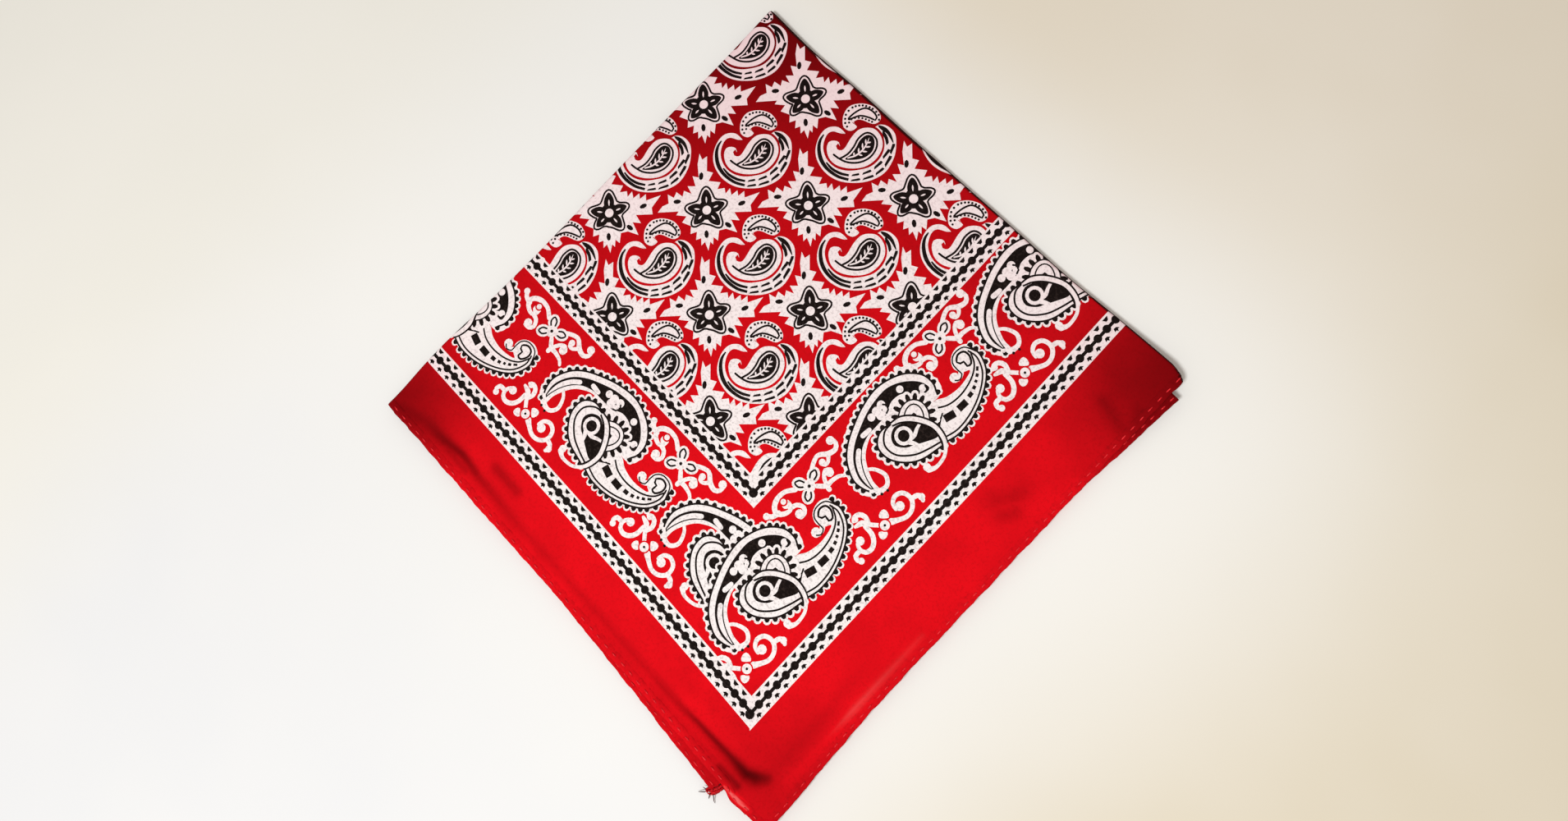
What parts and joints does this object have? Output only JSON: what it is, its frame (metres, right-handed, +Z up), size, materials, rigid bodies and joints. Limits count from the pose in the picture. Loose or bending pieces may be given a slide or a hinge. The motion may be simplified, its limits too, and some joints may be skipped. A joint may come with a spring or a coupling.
{
  "type": "bandana",
  "caption": "Square printed cotton bandana folded into a smaller square and laid flat, with rounded folds along its upper edges and stacked hems along its lower ones.",
  "frame": {"origin": "on the table, under the middle of the folded cloth's bounding box", "axes": "+Z up from the table, +Y towards the corner where the folds cross, +X towards the right-hand corner"},
  "size_m": [0.3762, 0.3878, 0.0099],
  "materials": {
    "front_quarter": "printed plain-weave cotton, matt",
    "front_hem_left": "turned and stitched cotton hem",
    "front_hem_right": "turned and stitched cotton hem",
    "inner_layers": "plain-weave cotton, matt",
    "second_hem_left": "turned and stitched cotton hem",
    "second_hem_right": "turned and stitched cotton hem",
    "third_hem_left": "turned and stitched cotton hem",
    "third_hem_right": "turned and stitched cotton hem",
    "back_quarter": "printed plain-weave cotton, matt",
    "back_hem_left": "turned and stitched cotton hem",
    "back_hem_right": "turned and stitched cotton hem",
    "thread_tuft": "frayed cotton thread"
  },
  "bodies": {
    "root": {"front_quarter": "front_quarter", "front_hem_left": "front_hem_left", "front_hem_right": "front_hem_right", "inner_layers": "inner_layers", "second_hem_left": "second_hem_left", "second_hem_right": "second_hem_right", "third_hem_left": "third_hem_left", "third_hem_right": "third_hem_right", "back_quarter": "back_quarter", "back_hem_left": "back_hem_left", "back_hem_right": "back_hem_right", "thread_tuft": "thread_tuft"}
  },
  "joints": []
}
